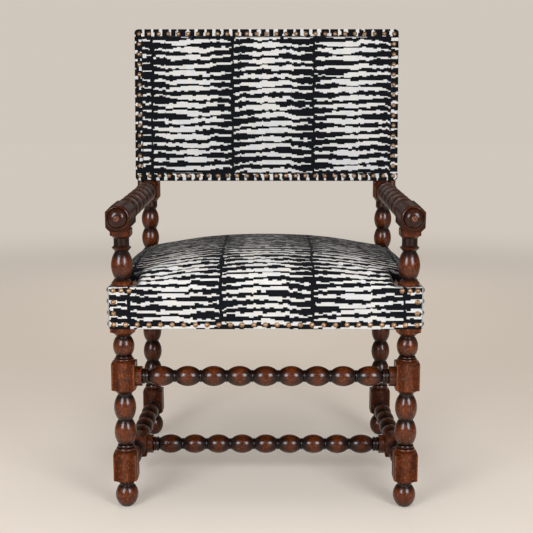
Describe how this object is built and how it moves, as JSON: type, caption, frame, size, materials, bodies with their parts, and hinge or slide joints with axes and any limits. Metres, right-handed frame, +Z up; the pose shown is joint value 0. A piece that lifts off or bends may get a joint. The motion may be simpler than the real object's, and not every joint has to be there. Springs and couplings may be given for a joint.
{
  "type": "armchair",
  "caption": "Upright armchair: bobbin-turned walnut frame with ball feet and eight-sided arm ends, crowned nailed seat and raked upholstered back.",
  "frame": {"origin": "on the floor under the middle of the chair's box", "axes": "+Z up, the sitter faces -Y, +X to the right in a view from the front"},
  "size_m": [0.612, 0.5575, 0.9655],
  "materials": {
    "walnut": "dark stained and waxed",
    "peg": "dark stained and waxed",
    "beech": "planed",
    "steel": "plain",
    "webbing": "woven jute",
    "hessian": "open weave",
    "stuffing": "hair and wadding",
    "stripe": "ribbed weave, black and ivory",
    "outer_cloth": "ribbed weave, black",
    "dust_cloth": "plain weave",
    "trim": "ribbed weave, black and ivory",
    "nail": "aged bronze"
  },
  "bodies": {
    "chair": {"front_leg_left": "walnut", "front_leg_right": "walnut", "rear_post_left": "walnut", "rear_post_right": "walnut", "arm_left": "walnut", "arm_right": "walnut", "front_stretcher": "walnut", "cross_stretcher": "walnut", "side_stretcher_left": "walnut", "side_stretcher_right": "walnut", "frame_pegs": "peg", "front_seat_rail": "beech", "rear_seat_rail": "beech", "side_seat_rail_left": "beech", "side_seat_rail_right": "beech", "corner_block_front_left": "beech", "corner_block_front_right": "beech", "corner_block_rear_left": "beech", "corner_block_rear_right": "beech", "back_top_rail": "beech", "back_bottom_rail": "beech", "corner_block_screws": "steel", "seat_webbing_long": "webbing", "seat_webbing_cross": "webbing", "back_webbing": "webbing", "seat_hessian": "hessian", "back_hessian": "hessian", "seat_stuffing": "stuffing", "back_stuffing": "stuffing", "seat_cover": "stripe", "back_cover": "stripe", "back_outer_panel": "outer_cloth", "seat_dust_cover": "dust_cloth", "back_trim_top": "trim", "back_trim_bottom": "trim", "back_trim_left": "trim", "back_trim_right": "trim", "seat_nails": "nail", "back_nails": "nail", "outer_back_nails": "nail"}
  },
  "joints": []
}
